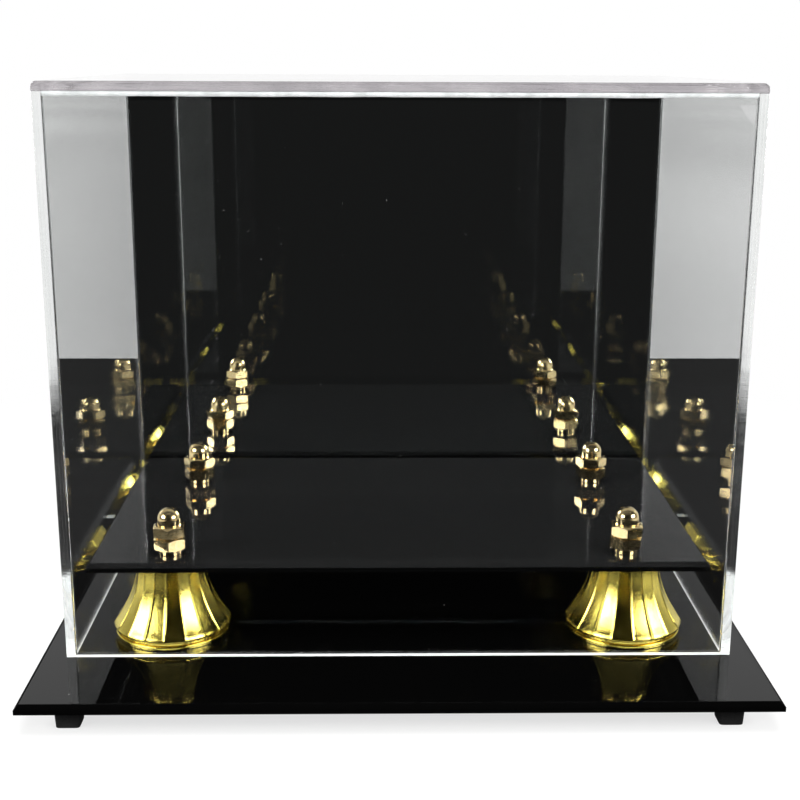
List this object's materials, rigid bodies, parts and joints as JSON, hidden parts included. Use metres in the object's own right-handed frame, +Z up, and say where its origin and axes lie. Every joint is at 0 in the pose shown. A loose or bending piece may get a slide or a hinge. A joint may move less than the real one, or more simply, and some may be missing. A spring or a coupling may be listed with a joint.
{
  "type": "small helmet display case",
  "caption": "Tabletop display case: clear lift-off cover with mirrored back over a black deck held above a black base by fluted gold risers, screws and cap nuts.",
  "frame": {"origin": "on the floor under the middle of the base plate, at the feet's lower faces", "axes": "+Z up, -Y towards the front ledge and the viewer, +X to the viewer's right, along the case's width"},
  "size_m": [0.254, 0.196, 0.2092],
  "materials": {
    "clear_acrylic": "gloss",
    "mirror_acrylic": "gloss",
    "black_acrylic": "gloss",
    "gold_plastic": "metallised gloss",
    "brass": "plated",
    "steel": "zinc plated",
    "rubber": "matte"
  },
  "bodies": {
    "base": {"base_plate": "black_acrylic", "deck_plate": "black_acrylic", "foot_front_left": "rubber", "foot_front_right": "rubber", "foot_back_left": "rubber", "foot_back_right": "rubber", "screw_front_left": "steel", "screw_front_right": "steel", "screw_back_left": "steel", "screw_back_right": "steel", "washer_front_left": "steel", "washer_front_right": "steel", "washer_back_left": "steel", "washer_back_right": "steel", "riser_front_left": "gold_plastic", "riser_front_right": "gold_plastic", "riser_back_left": "gold_plastic", "riser_back_right": "gold_plastic", "collar_front_left": "brass", "collar_front_right": "brass", "collar_back_left": "brass", "collar_back_right": "brass", "jam_nut_front_left": "brass", "jam_nut_front_right": "brass", "jam_nut_back_left": "brass", "jam_nut_back_right": "brass", "cap_nut_front_left": "brass", "cap_nut_front_right": "brass", "cap_nut_back_left": "brass", "cap_nut_back_right": "brass"},
    "cover": {"cover_left_panel": "clear_acrylic", "cover_right_panel": "clear_acrylic", "cover_front_panel": "clear_acrylic", "cover_top_panel": "clear_acrylic", "cover_mirror_panel": "mirror_acrylic"}
  },
  "joints": [
    {"name": "cover_lift", "type": "slide", "parent": "base", "child": "cover", "axis": [0, 0, 1], "range_m": [0, 0.22]}
  ]
}
